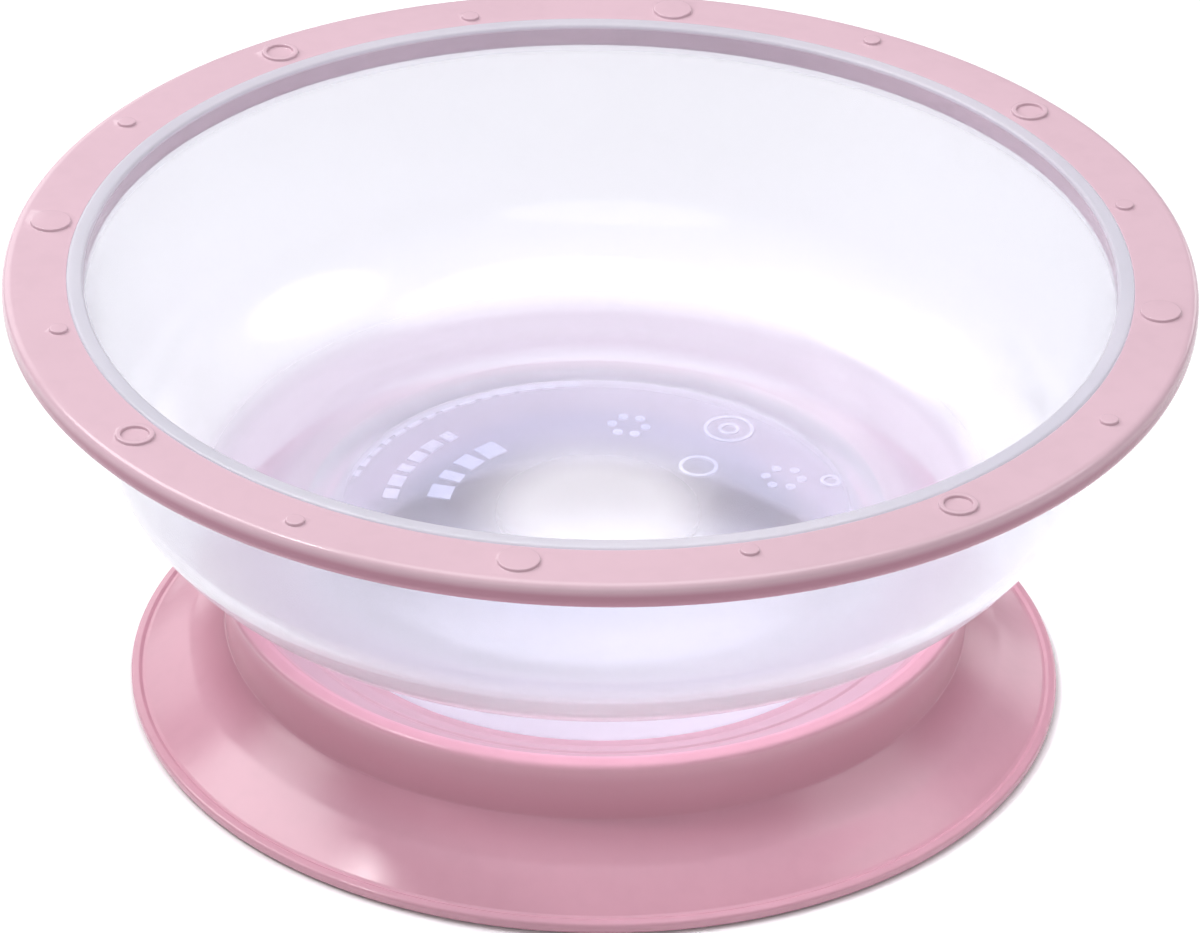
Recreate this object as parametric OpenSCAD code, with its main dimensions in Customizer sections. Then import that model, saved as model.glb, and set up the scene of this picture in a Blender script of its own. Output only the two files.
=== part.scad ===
// Suction bowl for feeding a baby: a clear bowl with a soft overmoulded rim, held by a soft ring
// that sticks to the table. Millimetres, +Z up, origin on the table under the bowl's centre.

/* [Bowl] */
// Outside diameter of the rim
rim_d = 140; // [134:1:146]
// Height of the rim's top face above the table
bowl_h = 56; // [54:0.5:60]
// Wall thickness of the clear bowl
wall = 1.8; // [1.5:0.1:2.1]
// Outside diameter of the foot ring above its seat
foot_d = 69; // [67:0.5:70]
// Wall thickness of the foot ring
foot_wall = 2.7; // [2.3:0.1:3.1]

/* [Rim grip] */
// Width of the soft rim
grip_w = 7.5; // [7:0.5:9]
// Thickness of the soft rim
grip_t = 3.3; // [3:0.1:3.8]
// Height of the raised marks on the rim
mark_h = 0.4; // [0.2:0.1:0.6]
// Number of groups of four marks round the rim
mark_groups = 4; // [2:1:6]

/* [Suction ring] */
// Outside diameter over the sealing lip
ring_d = 112; // [110:0.5:116]
// Outside diameter of the collar at its top
collar_d = 90.4; // [89:0.2:92]
// Height of the collar's top edge above the table
collar_h = 16; // [15.5:0.5:17]
// Height of the crease where the skirt leaves the collar
crease_h = 8.2; // [7.6:0.2:8.8]
// Radial clearance between the foot and the ring's bore
foot_gap = 0.1; // [0.05:0.01:0.1]

/* [Hidden] */
$fn = 180;

clear_colour = [0.95, 0.95, 0.98, 0.4];
pink_colour = [0.85, 0.68, 0.76];

// Rim: the clear lip shows inside the soft rim, and a hidden tongue on the bowl locks the two.
rim_r = rim_d / 2;
lip_ro = rim_r - grip_w;
lip_ri = lip_ro - 2;
lip_proud = 0.25;
lip_round = 0.5;
tongue_len = 4.2;
tongue_t = 1.2;
tongue_z = bowl_h - grip_t / 2 - tongue_t / 2;
straight_z = bowl_h - 3.5;

// Bowl wall: straight below the rim, then a quarter-ellipse belly that stops at the floor's corner.
belly_r = 19.5;
belly_a = rim_r - 11.5 - belly_r;
belly_b = 20.5;
belly_z = bowl_h - 18;
belly_from = 7;
belly_to = 47;
belly_step = 4;

// Floor: a shallow cone from the corner to the foot, then flat across the middle.
floor_r = foot_d / 2 + 2.5;
floor_z = bowl_h - 34.8;

// Foot: its shoulder stands on the seat and its spigot goes down through the bore.
foot_r = foot_d / 2;
spigot_r = foot_r - 1.1;
spigot_z = 8.5;
foot_lift = 0.1;

// Collar: a thin web falls from the top edge to a flat seat round the bore.
collar_r = collar_d / 2;
crease_r = collar_r - 0.6;
bore_r = spigot_r + foot_gap;
seat_r = foot_r + 0.9;
seat_z = collar_h - 3.8;
web_t = 2;
collar_wall = 2.6;
bead_w = 2.4;
bead_drop = 0.5;
edge_round = 0.9;

// Skirt and sealing lip, parted on the cylinders where the ring starts and stops bending.
skirt_root = 3.6;
lip_cut_r = ring_d / 2 - 3;
lip_t = 1.5;
lip_edge = 0.7;
chamber_z = crease_h - skirt_root + 1.1;

// Raised marks: a disc, a small dot, a ring and another small dot, one group after another.
mark_step = 360 / (4 * mark_groups);
disc_r = 2.5;
ring_mark_r = 2.3;
ring_mark_bore = 1.55;
dot_r = 1.2;
disc_at = rim_r - 4.4;
dot_in_at = rim_r - 5.5;
dot_out_at = rim_r - 3.4;
mark_root = 0.3;

function ellipse_at(a, b, t) = [belly_r + a * cos(t), belly_z - b * sin(t)];
function belly(a, b) = [for (t = [belly_from : belly_step : belly_to]) ellipse_at(a, b, t)];
function arc(r, z, radius, from, to, steps = 6) =
    [for (i = [0 : steps]) let (t = from + (to - from) * i / steps) [r + radius * cos(t), z + radius * sin(t)]];
function back_to_front(points) = [for (i = [len(points) - 1 : -1 : 0]) points[i]];

module bowl_shell() {
    outside = concat(
        arc(lip_ro - lip_round, bowl_h + lip_proud - lip_round, lip_round, 90, 0, 4),
        [[lip_ro, tongue_z + tongue_t], [lip_ro + tongue_len, tongue_z + tongue_t]],
        [[lip_ro + tongue_len, tongue_z], [lip_ro, tongue_z], [lip_ro, straight_z]],
        belly(belly_a, belly_b),
        [[floor_r, floor_z + 0.3], [foot_r + 0.6, floor_z]],
        [[foot_r, floor_z - 0.6], [foot_r, seat_z + foot_lift]],
        [[spigot_r, seat_z + foot_lift], [spigot_r, spigot_z + 0.4], [spigot_r - 0.4, spigot_z]],
        [[foot_r - foot_wall, spigot_z], [foot_r - foot_wall, floor_z], [0, floor_z]]
    );
    inside = concat(
        arc(lip_ri + lip_round, bowl_h + lip_proud - lip_round, lip_round, 90, 180, 4),
        [[lip_ri, straight_z]],
        belly(belly_a - wall, belly_b - wall),
        [[floor_r, floor_z + 0.3 + wall], [foot_r, floor_z + wall], [0, floor_z + wall]]
    );
    color(clear_colour)
        rotate_extrude()
            polygon(concat(outside, back_to_front(inside)));
}

module grip_ring() {
    top_round = 1.1;
    low_round = 1.6;
    low_z = bowl_h - grip_t;
    rotate_extrude()
        polygon(concat(
            [[lip_ro, bowl_h]],
            arc(rim_r - top_round, bowl_h - top_round, top_round, 90, 0),
            arc(rim_r - low_round, low_z + low_round, low_round, 0, -90),
            [[lip_ro, low_z], [lip_ro, tongue_z], [lip_ro + tongue_len, tongue_z]],
            [[lip_ro + tongue_len, tongue_z + tongue_t], [lip_ro, tongue_z + tongue_t]]
        ));
}

module mark(index, at) {
    rotate([0, 0, index * mark_step - 90])
        translate([at, 0, bowl_h - mark_root])
            children();
}

module ring_mark() {
    difference() {
        cylinder(h = mark_h + mark_root, r = ring_mark_r, $fn = 48);
        translate([0, 0, mark_root])
            cylinder(h = mark_h + 1, r = ring_mark_bore, $fn = 48);
    }
}

module rim_grip() {
    color(pink_colour) {
        union() {
            grip_ring();
            for (group = [0 : mark_groups - 1]) {
                mark(4 * group, disc_at) cylinder(h = mark_h + mark_root, r = disc_r, $fn = 48);
                mark(4 * group + 1, dot_in_at) cylinder(h = mark_h + mark_root, r = dot_r, $fn = 32);
                mark(4 * group + 2, disc_at) ring_mark();
                mark(4 * group + 3, dot_out_at) cylinder(h = mark_h + mark_root, r = dot_r, $fn = 32);
            }
        }
    }
}

module suction_collar() {
    inner_wall_r = crease_r - collar_wall;
    bead_r = collar_r - bead_w;
    color(pink_colour)
        rotate_extrude()
            polygon(concat(
                [[bore_r, seat_z - web_t], [bore_r, seat_z], [seat_r, seat_z]],
                [[bead_r - 0.5, collar_h - bead_drop - 0.6], [bead_r, collar_h - bead_drop]],
                [[bead_r + 0.4, collar_h]],
                arc(collar_r - edge_round, collar_h - edge_round, edge_round, 90, 0, 5),
                [[crease_r, crease_h], [crease_r, crease_h - skirt_root]],
                [[inner_wall_r, chamber_z], [inner_wall_r, collar_h - bead_drop - 0.6 - web_t]],
                [[seat_r, seat_z - web_t]]
            ));
}

module suction_skirt() {
    color(pink_colour)
        rotate_extrude()
            polygon([
                [crease_r, crease_h], [crease_r, crease_h - skirt_root],
                [lip_cut_r, 0.2], [lip_cut_r, lip_t + 0.2],
                [crease_r + 1.2, crease_h - 1.2]
            ]);
}

module suction_lip() {
    edge_r = ring_d / 2 - lip_edge;
    color(pink_colour)
        rotate_extrude()
            polygon(concat(
                [[lip_cut_r, lip_t + 0.2], [lip_cut_r, 0.2], [lip_cut_r + 0.2, 0]],
                arc(edge_r, lip_edge, lip_edge, -90, 60, 8),
                [[edge_r - 0.7, lip_t], [edge_r - 1.5, lip_t]]
            ));
}

bowl_shell();
rim_grip();
suction_collar();
suction_skirt();
suction_lip();
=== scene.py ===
import math

import bmesh
import bpy
from mathutils import Matrix, Vector


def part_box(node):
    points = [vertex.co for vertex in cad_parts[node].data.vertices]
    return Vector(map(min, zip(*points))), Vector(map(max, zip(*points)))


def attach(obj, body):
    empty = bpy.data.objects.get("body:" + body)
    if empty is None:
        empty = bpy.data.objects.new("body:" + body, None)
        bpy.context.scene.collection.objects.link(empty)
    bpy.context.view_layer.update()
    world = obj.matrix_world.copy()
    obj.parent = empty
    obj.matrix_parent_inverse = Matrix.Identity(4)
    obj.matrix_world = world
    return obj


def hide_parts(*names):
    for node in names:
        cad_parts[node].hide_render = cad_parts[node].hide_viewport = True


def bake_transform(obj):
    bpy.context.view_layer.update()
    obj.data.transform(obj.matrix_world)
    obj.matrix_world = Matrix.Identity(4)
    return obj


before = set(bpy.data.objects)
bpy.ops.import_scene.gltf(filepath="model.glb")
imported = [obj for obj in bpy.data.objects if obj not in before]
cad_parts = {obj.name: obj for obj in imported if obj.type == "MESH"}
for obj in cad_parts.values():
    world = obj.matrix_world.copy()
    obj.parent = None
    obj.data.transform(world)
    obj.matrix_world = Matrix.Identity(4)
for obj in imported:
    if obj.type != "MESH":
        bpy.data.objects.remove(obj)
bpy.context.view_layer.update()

# The object's lengths are in millimetres until a mesh is made.
MM = 0.001
SEGMENTS = 288
GAP = 0.02


def top(node):
    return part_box(node)[1].z / MM


def bottom(node):
    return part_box(node)[0].z / MM


def radius(node):
    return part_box(node)[1].x / MM


# Sizes taken from the CAD frame.
RIM_R = radius("rim_grip")
MARK_TOP = top("rim_grip")
MARK_H = 0.4
RIM_TOP = MARK_TOP - MARK_H
RIM_LOW = bottom("rim_grip")
LIP_TOP = top("bowl_shell")
SPIGOT_LOW = bottom("bowl_shell")
COLLAR_R = radius("suction_collar")
COLLAR_TOP = top("suction_collar")
CHAMBER_LOW = bottom("suction_collar")
RING_R = radius("suction_lip")
CREASE_Z = top("suction_skirt")

# Sizes that the frame's boxes don't give.
LIP_RO = RIM_R - 7.5
LIP_RI = LIP_RO - 2.0
WALL = 1.8
FOOT_R = 34.5
FOOT_BORE = FOOT_R - 2.7
SPIGOT_R = FOOT_R - 1.1
SEAT_Z = COLLAR_TOP - 3.8
FLOOR_Z = RIM_TOP - 34.8
BELLY = (19.5, RIM_TOP - 18.0)
BELLY_A = RIM_R - 11.5 - BELLY[0]
BELLY_B = 20.5
BELLY_SPAN = (-7, -47)
CREASE_R = COLLAR_R - 0.6
MARK_COUNT = 16

# The studio, in metres and watts. Each lamp has its name, place, size and power.
WORLD_STRENGTH = 0.30
LAMP_TARGET = Vector((0, 0, 0.03))
FLOOR_SIZE = 6
FLOOR_DROP = 0.0002
LAMPS = [
    ("overhead", (0.0, 0.15, 1.3), (1.1, 1.1), 7.5),
    ("left_window", (-0.86, 0.30, 1.00), (0.75, 0.75), 8.0),
    ("back_left_panel", (-0.72, 1.00, 0.48), (0.80, 0.70), 2.0),
    ("back_right_panel", (0.60, 1.15, 0.32), (0.50, 0.40), 1.0),
    ("left_key", (-0.62, -0.12, 1.15), (0.14, 0.14), 2.7),
    ("right_window", (0.90, 0.25, 0.95), (0.7, 0.7), 2.8),
    ("front", (0.1, -1.25, 0.85), (1.4, 0.7), 2.4),
]

# Bands of painted shade, deeper pink on the rim's outer side, the collar's wall and the seat: colour,
# heights it fades in between, radii it fades in and out between.
# They are tuned to the photo, so they partly paint in its shading.
# Painted shade: deeper pink down the rim's outer side, under its top face.
RIM_EDGE_PAINTED_SHADE = ((172, 120, 139), (RIM_TOP - 0.4, RIM_TOP - 1.6),
            (RIM_R - 2.2, RIM_R - 1.0, RIM_R + 1, RIM_R + 2))
# Painted shade: a darker, greyer pink on the seat under the bowl's foot.
RING_SEAT_PAINTED_SHADE = ((183, 148, 160), (COLLAR_TOP + 2, COLLAR_TOP + 1), (20, 30, COLLAR_R - 4.0, COLLAR_R - 2.0))
# Painted shade: deeper pink down the collar's wall, where it stands in shade.
RING_WALL_PAINTED_SHADE = ((190, 135, 151), (COLLAR_TOP - 0.3, COLLAR_TOP - 3.0),
             (COLLAR_R - 3.0, COLLAR_R - 1.5, COLLAR_R + 0.4, COLLAR_R + 4))


# ---------------------------------------------------------------- mesh helpers

def arc(centre, semi_axes, start, end, steps):
    """Points on an elliptical arc in the r-z plane, with angles in degrees."""
    a, b = semi_axes
    angles = [math.radians(start + (end - start) * i / steps) for i in range(steps + 1)]
    return [(centre[0] + a * math.cos(t), centre[1] + b * math.sin(t)) for t in angles]


def rounded(points, steps=5):
    """A closed outline whose corners are rounded. Each point is (r, z, corner radius)."""
    out = []
    count = len(points)
    for i, (r, z, size) in enumerate(points):
        here = Vector((r, z))
        if size == 0:
            out.append((r, z))
            continue
        before = Vector(points[i - 1][:2]) - here
        after = Vector(points[(i + 1) % count][:2]) - here
        half = before.angle(after) / 2
        reach = min(size / math.tan(half), before.length * 0.49, after.length * 0.49)
        start, end = here + before.normalized() * reach, here + after.normalized() * reach
        for k in range(steps + 1):
            t = k / steps
            point = start.lerp(here, t).lerp(here.lerp(end, t), t)
            out.append((point.x, point.y))
    return out


def lathe(name, profile, segments=SEGMENTS, wave=None):
    """Turns a closed r-z profile round the Z axis. wave(r, z, angle) may add a height in millimetres."""
    bm = bmesh.new()
    rings = []
    for r, z in profile:
        if r < 1e-6:
            rings.append([bm.verts.new((0, 0, z * MM))])
            continue
        ring = []
        for i in range(segments):
            a = 2 * math.pi * i / segments
            lift = wave(r, z, a) if wave else 0
            ring.append(bm.verts.new((r * MM * math.cos(a), r * MM * math.sin(a), (z + lift) * MM)))
        rings.append(ring)
    for low, high in zip(rings, rings[1:] + rings[:1]):
        for i in range(segments):
            j = (i + 1) % segments
            if len(low) == 1 and len(high) == 1:
                break
            corners = [low[i % len(low)], high[i % len(high)], high[j % len(high)], low[j % len(low)]]
            bm.faces.new(list(dict.fromkeys(corners)))
    return finish_mesh(name, bm)


def finish_mesh(name, bm, sharp=None):
    bmesh.ops.recalc_face_normals(bm, faces=bm.faces)
    mesh = bpy.data.meshes.new(name)
    bm.to_mesh(mesh)
    bm.free()
    mesh.polygons.foreach_set("use_smooth", [True] * len(mesh.polygons))
    obj = bpy.data.objects.new(name, mesh)
    bpy.context.scene.collection.objects.link(obj)
    if sharp:
        mesh.set_sharp_from_angle(angle=math.radians(sharp))
    return obj


def densify(points, longest):
    """Adds points so that no stretch of the closed outline is longer than longest."""
    out = []
    for a, b in zip(points, points[1:] + points[:1]):
        steps = max(1, math.ceil(math.hypot(b[0] - a[0], b[1] - a[1]) / longest))
        out += [(a[0] + (b[0] - a[0]) * i / steps, a[1] + (b[1] - a[1]) * i / steps) for i in range(steps)]
    return out


# ---------------------------------------------------------------- material helpers

def srgb(r, g, b):
    """Scene colour of an 8-bit display colour."""
    def linear(c):
        c /= 255
        return c / 12.92 if c <= 0.04045 else ((c + 0.055) / 1.055) ** 2.4
    return (linear(r), linear(g), linear(b), 1)


class Nodes:
    """A short way to write a material's nodes."""

    def __init__(self, name):
        self.material = bpy.data.materials.new(name)
        self.material.use_nodes = True
        self.tree = self.material.node_tree
        self.tree.nodes.clear()
        self.out = self.add("ShaderNodeOutputMaterial")

    def add(self, kind, **settings):
        node = self.tree.nodes.new(kind)
        for key, value in settings.items():
            setattr(node, key, value)
        return node

    def link(self, source, target):
        self.tree.links.new(source, target)

    def noise(self, scale, detail, rough):
        node = self.add("ShaderNodeTexNoise")
        node.inputs["Scale"].default_value = scale
        node.inputs["Detail"].default_value = detail
        node.inputs["Roughness"].default_value = rough
        self.link(self.coords(), node.inputs["Vector"])
        return node.outputs["Fac"]

    def coords(self):
        if not hasattr(self, "_coords"):
            self._coords = self.add("ShaderNodeTexCoord").outputs["Object"]
        return self._coords

    def ramp(self, source, stops):
        node = self.add("ShaderNodeValToRGB")
        node.color_ramp.interpolation = "EASE"
        self.link(source, node.inputs["Fac"])
        elements = node.color_ramp.elements
        while len(elements) < len(stops):
            elements.new(0.5)
        for element, (place, colour) in zip(elements, stops):
            element.position = place
            element.color = colour if isinstance(colour, tuple) else (colour, colour, colour, 1)
        return node.outputs["Color"]

    def maths(self, operation, a, b=0.0):
        node = self.add("ShaderNodeMath", operation=operation)
        for socket, value in zip(node.inputs, (a, b)):
            if isinstance(value, (int, float)):
                socket.default_value = value
            else:
                self.link(value, socket)
        return node.outputs[0]

    def range(self, source, low, high, to_low=0.0, to_high=1.0):
        node = self.add("ShaderNodeMapRange", interpolation_type="SMOOTHSTEP")
        self.link(source, node.inputs["Value"])
        for key, value in (("From Min", low), ("From Max", high), ("To Min", to_low), ("To Max", to_high)):
            node.inputs[key].default_value = value
        return node.outputs["Result"]

    def mix(self, factor, a, b, blend="MIX"):
        node = self.add("ShaderNodeMix", data_type="RGBA", blend_type=blend)
        for socket, value in ((node.inputs[0], factor), (node.inputs[6], a), (node.inputs[7], b)):
            if isinstance(value, (int, float, tuple)):
                socket.default_value = value
            else:
                self.link(value, socket)
        return node.outputs[2]

    def bump(self, height, strength, distance, normal=None):
        node = self.add("ShaderNodeBump")
        node.inputs["Strength"].default_value = strength
        node.inputs["Distance"].default_value = distance
        self.link(height, node.inputs["Height"])
        if normal is not None:
            self.link(normal, node.inputs["Normal"])
        return node.outputs["Normal"]

    def position(self):
        """Radius from the axis and height, in metres, from object coordinates."""
        split = self.add("ShaderNodeSeparateXYZ")
        self.link(self.coords(), split.inputs[0])
        square = self.maths("ADD", self.maths("MULTIPLY", split.outputs[0], split.outputs[0]),
                            self.maths("MULTIPLY", split.outputs[1], split.outputs[1]))
        return self.maths("SQRT", square), split.outputs[2]

    def principled(self, **sockets):
        node = self.add("ShaderNodeBsdfPrincipled")
        for key, value in sockets.items():
            socket = node.inputs[key.replace("_", " ")]
            if isinstance(value, (int, float, tuple)):
                socket.default_value = value
            else:
                self.link(value, socket)
        return node


# ---------------------------------------------------------------- materials

def soft_pink(name, base, gloss, *shade_bands):
    """Satin thermoplastic elastomer: fine moulded grain, faint clouding, a soft sheen.

    Each painted shade band is (colour, heights, radii): a deeper pink that stands for shade. It fades in
    between two heights, going down, and reaches from the second to the third of four radii.
    """
    n = Nodes(name)
    cloud = n.noise(28, 4, 0.55)
    fine = n.noise(420, 1, 0.5)
    dark = [c * 0.982 for c in base]
    light = [min(255, c * 1.01) for c in base]
    colour = n.ramp(cloud, [(0.3, srgb(*dark)), (0.7, srgb(*light))])
    speck = n.ramp(fine, [(0.25, srgb(*dark)), (0.6, srgb(*light))])
    colour = n.mix(0.3, colour, speck)
    r, z = n.position()
    # Painted shade: each band lays its deeper pink over the part's own colour.
    for shade_colour, heights, radii in shade_bands:
        band = n.maths("MULTIPLY", n.range(r, radii[0] * MM, radii[1] * MM),
                       n.range(r, radii[2] * MM, radii[3] * MM, 1.0, 0.0))
        band = n.maths("MULTIPLY", n.range(z, heights[1] * MM, heights[0] * MM, 1.0, 0.0), band)
        colour = n.mix(band, colour, srgb(*shade_colour))
    worn = n.maths("ADD", n.maths("MULTIPLY", cloud, 0.6), n.maths("MULTIPLY", fine, 0.4))
    normal = n.bump(fine, 0.05, 0.00008)
    normal = n.bump(n.noise(60, 2, 0.5), 0.08, 0.0004, normal)
    shader = n.principled(Base_Color=colour, Roughness=n.range(worn, 0.25, 0.75, *gloss), Normal=normal,
                          IOR=1.48)
    n.link(shader.outputs[0], n.out.inputs["Surface"])
    return n.material


def clear_plastic(name):
    """Slightly milky polypropylene. Lamps shine through it, so what stands behind it stays lit."""
    n = Nodes(name)
    cloud = n.noise(22, 3, 0.5)
    r, z = n.position()
    normal = n.bump(n.noise(30, 2, 0.5), 0.10, 0.0003)
    clear_tint_with_painted_light_and_shade = n.ramp(cloud, [(0.3, srgb(248, 248, 251)), (0.7, srgb(252, 252, 254))])
    # The tint from the axis outwards is tuned to the photo. The wall is one thickness.
    # Painted light and shade: white in the middle, where the lit floor shows through, a bluish ring of
    # painted shade around it, and a slightly dimmer wall.
    painted_light_and_shade_tint = n.ramp(n.maths("DIVIDE", r, 60 * MM), [
        (0.16, srgb(255, 255, 255)), (0.34, srgb(226, 228, 243)), (0.43, srgb(240, 237, 246)),
        (0.74, srgb(238, 234, 243)), (0.84, srgb(247, 247, 250))])
    clear_tint_with_painted_light_and_shade = n.mix(1.0, clear_tint_with_painted_light_and_shade, painted_light_and_shade_tint, "MULTIPLY")
    clear = n.principled(Base_Color=clear_tint_with_painted_light_and_shade, Roughness=n.range(n.noise(75, 4, 0.6), 0.3, 0.7, 0.09, 0.16),
                         Normal=normal, IOR=1.49, Transmission_Weight=1.0)
    milk_tint_with_painted_light_and_shade = n.ramp(cloud, [(0.3, srgb(224, 224, 234)), (0.7, srgb(232, 231, 240))])
    # Painted shade: over the seat the milk is a duller, darker lavender with more haze.
    ledge_painted_shade = n.maths("MULTIPLY", n.range(r, 45 * MM, 49 * MM, 1.0, 0.0), n.range(r, 35 * MM, 39 * MM))
    # Painted light: in the middle the milk is whiter and thicker, where the lit floor shows through.
    middle_painted_light = n.range(r, 7 * MM, 17 * MM, 1.0, 0.0)
    foot = n.maths("MULTIPLY", n.range(r, 37 * MM, 42 * MM, 1.0, 0.0), n.range(r, 27 * MM, 35 * MM))
    milk_tint_with_painted_light_and_shade = n.mix(ledge_painted_shade, milk_tint_with_painted_light_and_shade, srgb(212, 204, 218))
    milk_tint_with_painted_light_and_shade = n.mix(middle_painted_light, milk_tint_with_painted_light_and_shade, srgb(244, 243, 247))
    zones = [
        (ledge_painted_shade, 0.24),
        (middle_painted_light, 0.17),
        (foot, 0.26),
        (n.range(z, (FLOOR_Z - 1.4) * MM, (FLOOR_Z - 0.4) * MM, 1.0, 0.0), 0.10),
        (n.range(z, (RIM_TOP - 4.0) * MM, (RIM_TOP - 3.0) * MM), 0.13),
        (n.range(z, (RIM_TOP - 0.4) * MM, (RIM_TOP - 0.1) * MM), 0.55),
    ]
    # A faintly clouded base, plus what each zone adds. The zones are tuned to the photo.
    milkiness = n.range(cloud, 0.3, 0.7, 0.17, 0.21)
    for zone, extra in zones:
        milkiness = n.maths("ADD", milkiness, n.maths("MULTIPLY", zone, extra))
    milk = n.principled(Base_Color=milk_tint_with_painted_light_and_shade, Roughness=0.35, Normal=normal, IOR=1.49)
    glow = n.add("ShaderNodeBsdfTranslucent")
    n.link(milk_tint_with_painted_light_and_shade, glow.inputs["Color"])
    # The milk is part paint and part glow from the far side.
    haze = n.add("ShaderNodeMixShader")
    haze.inputs[0].default_value = 0.36
    n.link(milk.outputs[0], haze.inputs[1])
    n.link(glow.outputs[0], haze.inputs[2])
    plastic = n.add("ShaderNodeMixShader")
    n.link(milkiness, plastic.inputs[0])
    n.link(clear.outputs[0], plastic.inputs[1])
    n.link(haze.outputs[0], plastic.inputs[2])
    # Lamps see the plastic as nearly nothing.
    through = n.add("ShaderNodeBsdfTransparent")
    through.inputs["Color"].default_value = (0.985, 0.98, 0.985, 1)
    lamp = n.add("ShaderNodeLightPath")
    both = n.add("ShaderNodeMixShader")
    n.link(lamp.outputs["Is Shadow Ray"], both.inputs[0])
    n.link(plastic.outputs[0], both.inputs[1])
    n.link(through.outputs[0], both.inputs[2])
    n.link(both.outputs[0], n.out.inputs["Surface"])
    return n.material


def frosted_mark(name):
    """Finely frosted plastic for the raised marks under the floor, which look white."""
    n = Nodes(name)
    fine = n.noise(1500, 3, 0.6)
    colour = n.ramp(fine, [(0.3, srgb(208, 206, 218)), (0.7, srgb(224, 222, 233))])
    shader = n.principled(Base_Color=colour, Roughness=n.range(fine, 0.3, 0.7, 0.55, 0.75),
                          Normal=n.bump(fine, 0.2, 0.00004), Transmission_Weight=0.30)
    n.link(shader.outputs[0], n.out.inputs["Surface"])
    return n.material


def studio_floor(name):
    n = Nodes(name)
    colour = n.ramp(n.noise(3, 2, 0.5), [(0.3, (0.93, 0.93, 0.935, 1)), (0.7, (0.95, 0.95, 0.953, 1))])
    shader = n.principled(Base_Color=colour, Roughness=0.6)
    n.link(shader.outputs[0], n.out.inputs["Surface"])
    return n.material


# ---------------------------------------------------------------- the bowl

def belly(a, b):
    """The bowl's curved wall, from the lip down, as an arc of an ellipse."""
    return arc(BELLY, (a, b), *BELLY_SPAN, 18)


def bowl_profile():
    outside = [(LIP_RO, LIP_TOP, 0.5), (LIP_RO, RIM_TOP - 3.5, 2.0)]
    outside += [(r, z, 0) for r, z in belly(BELLY_A, BELLY_B)]
    outside += [
        (FOOT_R + 2.5, FLOOR_Z + 0.3, 2.0), (FOOT_R, FLOOR_Z, 1.2),
        (FOOT_R, SEAT_Z + 0.1, 0.3), (SPIGOT_R, SEAT_Z + 0.1, 0.1), (SPIGOT_R, SPIGOT_LOW, 0.5),
        (FOOT_BORE, SPIGOT_LOW, 0.6), (FOOT_BORE, FLOOR_Z, 1.0), (0, FLOOR_Z, 0),
    ]
    inside = [
        (0, FLOOR_Z + WALL, 0), (FOOT_R, FLOOR_Z + WALL, 3.0), (FOOT_R + 2.5, FLOOR_Z + WALL + 0.3, 3.0),
    ]
    inside += [(r, z, 0) for r, z in reversed(belly(BELLY_A - WALL, BELLY_B - WALL))]
    inside += [(LIP_RI, RIM_TOP - 3.5, 2.0), (LIP_RI, LIP_TOP, 0.5)]
    return rounded(outside + inside)


def make_bowl(material):
    bowl = lathe("clear_bowl", densify(bowl_profile(), 1.2))
    bowl.data.materials.append(material)
    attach(bowl, "bowl")
    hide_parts("bowl_shell")


# ---------------------------------------------------------------- the soft rim

def rim_profile():
    inner = LIP_RO - GAP
    return rounded([
        (inner, RIM_TOP, 0.12), (RIM_R, RIM_TOP, 1.15), (RIM_R, RIM_LOW, 1.7), (inner, RIM_LOW, 0.2),
    ], steps=9)


def mark_profile(outer, inner=0.0):
    """A low moulded mark, with a small flare where it leaves the rim and a rounded top edge."""
    flare, edge = 0.16, 0.18
    side = [(outer + flare, -0.04, 0), (outer, 0.05, 0.12), (outer - 0.04, MARK_H, edge)]
    if inner:
        back = [(inner + 0.04, MARK_H, edge), (inner, 0.05, 0.12), (inner - flare, -0.04, 0)]
        low = [(inner - flare, -0.3, 0), (outer + flare, -0.3, 0)]
        return rounded(side + back + low, steps=4)
    return rounded(side + [(0, MARK_H, 0), (0, -0.3, 0), (outer + flare, -0.3, 0)], steps=4)


def make_rim(material):
    rim = lathe("rim_grip_soft", densify(rim_profile(), 1.5))
    # Disc, inner dot, ring, outer dot: distance from the axis, outer radius, inner radius.
    kinds = [(RIM_R - 4.4, 2.4, 0), (RIM_R - 5.5, 1.1, 0), (RIM_R - 4.4, 2.25, 1.6), (RIM_R - 3.4, 1.1, 0)]
    marks = []
    for i in range(MARK_COUNT):
        at, outer, inner = kinds[i % len(kinds)]
        angle = math.radians(360 / MARK_COUNT * i - 90)
        mark = lathe(f"mark_{i}", mark_profile(outer, inner), segments=72 if outer > 2 else 48)
        place = Vector((at * math.cos(angle), at * math.sin(angle), RIM_TOP)) * MM
        mark.data.transform(Matrix.Translation(place))
        marks.append(mark)
    unite(rim, marks)
    rim.data.materials.clear()
    rim.data.materials.append(material)
    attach(rim, "bowl")
    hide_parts("rim_grip")


def unite(obj, others):
    """Joins the others into obj as one closed skin."""
    with_all = bpy.data.collections.new("to_unite")
    bpy.context.scene.collection.children.link(with_all)
    for other in others:
        with_all.objects.link(other)
    union = obj.modifiers.new("union", "BOOLEAN")
    union.operation = "UNION"
    union.solver = "EXACT"
    union.operand_type = "COLLECTION"
    union.collection = with_all
    graph = bpy.context.evaluated_depsgraph_get()
    mesh = bpy.data.meshes.new_from_object(obj.evaluated_get(graph))
    obj.modifiers.clear()
    obj.data = mesh
    for other in others:
        bpy.data.objects.remove(other)
    bpy.data.collections.remove(with_all)
    mesh.polygons.foreach_set("use_smooth", [True] * len(mesh.polygons))
    mesh.set_sharp_from_angle(angle=math.radians(32))


# ---------------------------------------------------------------- the suction ring

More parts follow.
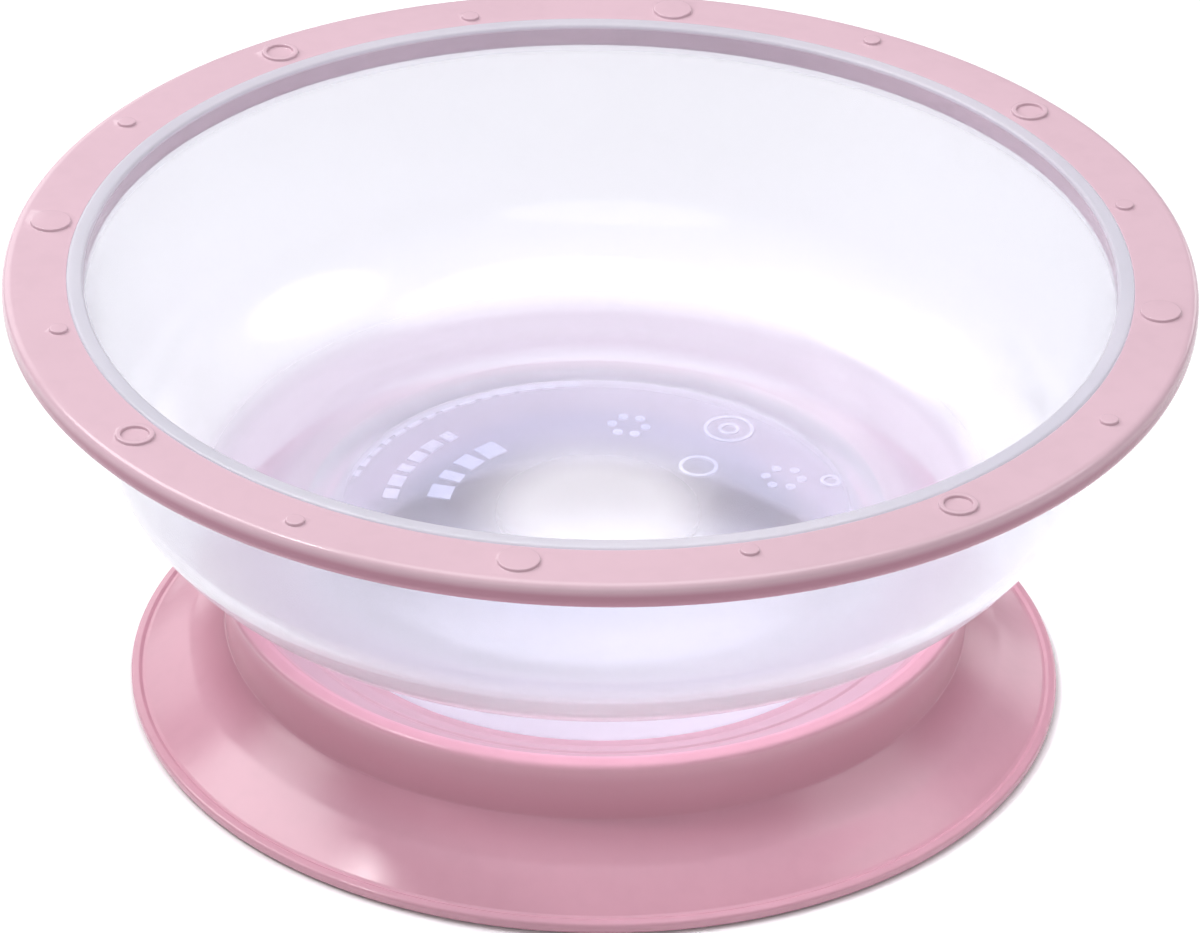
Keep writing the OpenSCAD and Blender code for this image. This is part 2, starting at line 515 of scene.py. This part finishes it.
def ring_profile():
    bore_r = SPIGOT_R + 0.1
    return rounded([
        # the web and the sloping seat
        (bore_r, SEAT_Z - 2.0, 0.25), (bore_r, SEAT_Z, 0.25), (FOOT_R + 0.9, SEAT_Z, 0.5),
        (FOOT_R + 3.6, SEAT_Z + 1.15, 0.6), (FOOT_R + 4.0, SEAT_Z + 1.0, 0.25),
        (FOOT_R + 4.6, SEAT_Z + 1.3, 0.3),
        (COLLAR_R - 3.6, COLLAR_TOP - 1.3, 0.5), (COLLAR_R - 2.9, COLLAR_TOP - 1.25, 0.3),
        (COLLAR_R - 2.3, COLLAR_TOP - 0.15, 0.45), (COLLAR_R - 1.6, COLLAR_TOP, 0.6),
        # the collar's wall, the crease, the skirt and the beaded edge
        (COLLAR_R, COLLAR_TOP - 0.15, 0.9), (CREASE_R, CREASE_Z, 0.35),
        (CREASE_R + 4.4, CREASE_Z - 3.5, 9.0), (RING_R - 1.75, 1.42, 0.8), (RING_R - 1.35, 1.28, 0.15),
        (RING_R - 0.95, 1.5, 0.25), (RING_R, 1.25, 0.45), (RING_R - 0.1, 0.0, 0.55),
        # the sealing lip and the chamber under the collar
        (RING_R - 2.8, 0.0, 0.2), (RING_R - 3.2, 0.25, 0.2),
        (CREASE_R, CREASE_Z - 3.6, 2.0), (CREASE_R - 2.6, CHAMBER_LOW + 1.1, 1.0),
        (CREASE_R - 2.6, COLLAR_TOP - 3.1, 1.0), (FOOT_R + 0.9, SEAT_Z - 2.0, 1.0),
    ], steps=7)


def skirt_wave(r, z, angle):
    """A slow ripple of at most 0.16 mm that fades out at the lip and at the collar. It isn't in the CAD."""
    reach = (r - CREASE_R) / (RING_R - 3.0 - CREASE_R)
    if not 0 < reach < 1:
        return 0
    swell = math.sin(math.pi * reach) ** 2
    return 0.10 * swell * (math.sin(3 * angle + 0.7) + 0.6 * math.sin(5 * angle + 2.1))


def make_ring(material):
    ring = lathe("suction_ring", densify(ring_profile(), 0.9), wave=skirt_wave)
    ring.data.materials.append(material)
    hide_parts("suction_collar", "suction_skirt", "suction_lip")
    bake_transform(ring)


# ---------------------------------------------------------------- blank marks under the floor

def slab(outline, low, high):
    """A flat raised shape with a slightly smaller face. outline runs anticlockwise, in millimetres."""
    bm = bmesh.new()
    centre = sum((Vector(p) for p in outline), Vector((0, 0))) / len(outline)
    rings = []
    for z, shrink in ((high, 0.0), (low + 0.06, 0.0), (low, 0.07)):
        ring = []
        for p in outline:
            point = Vector(p)
            point -= (point - centre).normalized() * shrink
            ring.append(bm.verts.new((point.x * MM, point.y * MM, z * MM)))
        rings.append(ring)
    for upper, lower in zip(rings, rings[1:]):
        for i in range(len(outline)):
            j = (i + 1) % len(outline)
            bm.faces.new((upper[i], lower[i], lower[j], upper[j]))
    bm.faces.new(rings[0])
    bm.faces.new(reversed(rings[-1]))
    return bm


def on_arc(at, angle, points):
    """Moves points drawn near the origin to a place on a circle, with their +Y pointing outwards."""
    turn = math.radians(angle)
    out = []
    for x, y in points:
        y += at
        out.append((x * math.cos(turn) - y * math.sin(turn), x * math.sin(turn) + y * math.cos(turn)))
    return out


def bar(width, height):
    """A rectangular outline, anticlockwise."""
    w, h = width / 2, height / 2
    return [(-w, -h), (w, -h), (w, h), (-w, h)]


def circle(size, x=0.0, y=0.0, steps=28):
    """A round outline, anticlockwise."""
    return [(x + size * math.cos(2 * math.pi * i / steps), y + size * math.sin(2 * math.pi * i / steps))
            for i in range(steps)]


def make_floor_marks(material):
    """Blank dashes, dots and rings stand in for the moulded signs under the floor."""
    high, low = FLOOR_Z - 0.01, FLOOR_Z - 0.22
    shapes = []
    rows = ((30.2, 14, 90, 5.2, 1.0, 2.0), (25.0, 54, 98, 7.0, 1.8, 2.2), (19.2, 50, 96, 11.5, 2.8, 2.6))
    for row, (at, start, end, step, height, width) in enumerate(rows):
        for i in range(int((end - start) / step)):
            wide = width * (1.0, 0.72, 1.12)[(i + row) % 3]
            shapes.append(slab(on_arc(at, start + i * step, bar(wide, height)), low, high))
    for at, angle, size in ((20.9, -3, 2.1), (24.2, -61, 2.2)):
        for i in range(6):
            turn = math.radians(60 * i)
            dot = circle(0.62, size * math.cos(turn), size * math.sin(turn), 16)
            shapes.append(slab(on_arc(at, angle, dot), low, high))
    for at, angle, sizes in ((25.7, -31, (3.1, 1.3)), (16.6, -40, (2.4,)), (29.4, -66, (1.3,))):
        for size in sizes:
            outer, inner = circle(size), circle(size - 0.45)
            shapes.append(ring_slab(on_arc(at, angle, outer), on_arc(at, angle, inner), low, high))
    whole = bmesh.new()
    for shape in shapes:
        piece = bpy.data.meshes.new("piece")
        shape.to_mesh(piece)
        shape.free()
        whole.from_mesh(piece)
        bpy.data.meshes.remove(piece)
    marks = finish_mesh("floor_marks", whole, sharp=40)
    marks.data.materials.append(material)
    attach(marks, "bowl")


def ring_slab(outer, inner, low, high):
    """A flat raised band between two outlines with the same number of points."""
    bm = bmesh.new()
    loops = [[bm.verts.new((x * MM, y * MM, z * MM)) for x, y in points]
             for points, z in ((outer, high), (outer, low), (inner, low), (inner, high))]
    for a, b in zip(loops, loops[1:] + loops[:1]):
        for i in range(len(outer)):
            j = (i + 1) % len(outer)
            bm.faces.new((a[i], b[i], b[j], a[j]))
    return bm


# ---------------------------------------------------------------- studio

def make_floor():
    bm = bmesh.new()
    bmesh.ops.create_grid(bm, x_segments=8, y_segments=8, size=FLOOR_SIZE)
    floor = finish_mesh("studio_floor", bm)
    floor.location.z = -FLOOR_DROP
    floor.data.materials.append(studio_floor("studio_floor"))


def make_light(name, place, size, power):
    """A soft elliptical lamp that faces the middle of the bowl. Metres and watts."""
    data = bpy.data.lights.new(name, "AREA")
    data.shape = "ELLIPSE"
    data.size, data.size_y = size
    data.energy = power
    light = bpy.data.objects.new(name, data)
    bpy.context.scene.collection.objects.link(light)
    light.location = place
    light.rotation_euler = (LAMP_TARGET - Vector(place)).to_track_quat("-Z", "Y").to_euler()


def make_world():
    """A dim studio: lighter overhead and on the camera's side, darker behind and below."""
    world = bpy.data.worlds.new("studio")
    bpy.context.scene.world = world
    world.use_nodes = True
    tree = world.node_tree
    tree.nodes.clear()
    out = tree.nodes.new("ShaderNodeOutputWorld")
    back = tree.nodes.new("ShaderNodeBackground")
    coords = tree.nodes.new("ShaderNodeTexCoord")
    turned = tree.nodes.new("ShaderNodeMapping")
    turned.inputs["Rotation"].default_value = (math.radians(-40), 0, 0)
    split = tree.nodes.new("ShaderNodeSeparateXYZ")
    ramp = tree.nodes.new("ShaderNodeValToRGB")
    tree.links.new(coords.outputs["Generated"], turned.inputs["Vector"])
    tree.links.new(turned.outputs[0], split.inputs[0])
    tree.links.new(split.outputs[2], ramp.inputs["Fac"])
    tree.links.new(ramp.outputs["Color"], back.inputs["Color"])
    tree.links.new(back.outputs[0], out.inputs["Surface"])
    ramp.color_ramp.elements[0].color = (0.42, 0.41, 0.45, 1)
    ramp.color_ramp.elements[1].position = 0.9
    ramp.color_ramp.elements[1].color = (1.35, 1.35, 1.36, 1)
    back.inputs["Strength"].default_value = WORLD_STRENGTH


def make_camera():
    """The photograph's view: angles in degrees, then metres."""
    azimuth, elevation, roll = math.radians(7.35), math.radians(31.3), math.radians(1.0)
    distance, side, height = 0.832, 0.0003, 0.0287
    right = Vector((math.cos(azimuth), math.sin(azimuth), 0))
    back = Vector((math.sin(azimuth) * math.cos(elevation), -math.cos(azimuth) * math.cos(elevation),
                   math.sin(elevation)))
    data = bpy.data.cameras.new("camera")
    data.sensor_width = 36
    data.lens = 209.5
    data.clip_start, data.clip_end = 0.05, 50
    camera = bpy.data.objects.new("camera", data)
    bpy.context.scene.collection.objects.link(camera)
    camera.location = right * side + Vector((0, 0, height)) + back * distance
    facing = (-back).to_track_quat("-Z", "Y").to_matrix() @ Matrix.Rotation(roll, 3, "Z")
    camera.rotation_euler = facing.to_euler()
    bpy.context.scene.camera = camera


make_camera()
make_world()
make_floor()
for lamp_settings in LAMPS:
    make_light(*lamp_settings)
make_bowl(clear_plastic("clear_plastic"))
make_rim(soft_pink("soft_pink_rim", (209, 177, 189), (0.14, 0.20), RIM_EDGE_PAINTED_SHADE))
make_ring(soft_pink("soft_pink_ring", (199, 149, 164), (0.17, 0.24), RING_SEAT_PAINTED_SHADE, RING_WALL_PAINTED_SHADE))
make_floor_marks(frosted_mark("frosted_mark"))

bpy.context.scene.view_settings.view_transform = "Standard"
